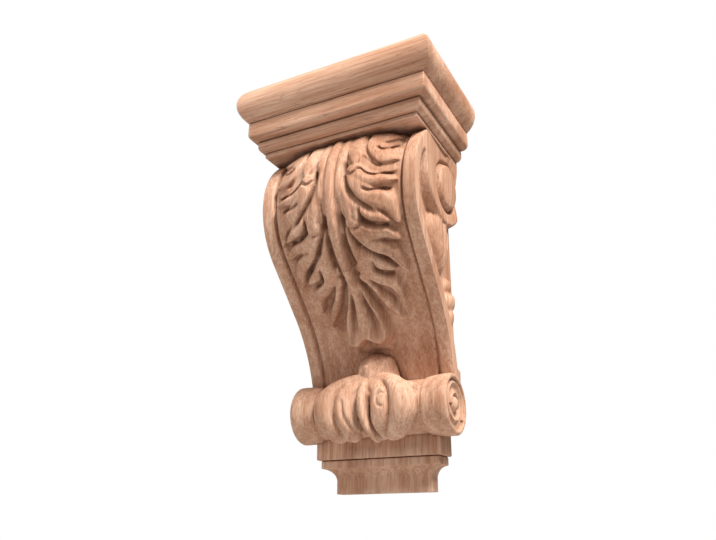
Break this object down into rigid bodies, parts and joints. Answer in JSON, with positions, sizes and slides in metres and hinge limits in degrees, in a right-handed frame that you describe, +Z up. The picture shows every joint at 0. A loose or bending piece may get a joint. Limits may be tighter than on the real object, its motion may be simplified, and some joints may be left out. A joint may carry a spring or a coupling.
{
  "type": "carved wooden corbel bracket",
  "caption": "Carved hardwood corbel: moulded cap on a scrolled body with an acanthus leaf, rolled foot and coved pendant, flat at the back.",
  "frame": {"origin": "centre of the flat wall face, halfway up the whole bracket", "axes": "+Y into the wall, +Z up towards the shelf, +X along the wall to the right of someone facing it"},
  "size_m": [0.139, 0.085, 0.26],
  "materials": {
    "cap_wood": "sanded bare hardwood, matte, grain running along the wall",
    "body_wood": "carved and sanded bare hardwood, matte, grain running up the bracket"
  },
  "bodies": {
    "root": {"cap": "cap_wood", "body": "body_wood"}
  },
  "joints": []
}
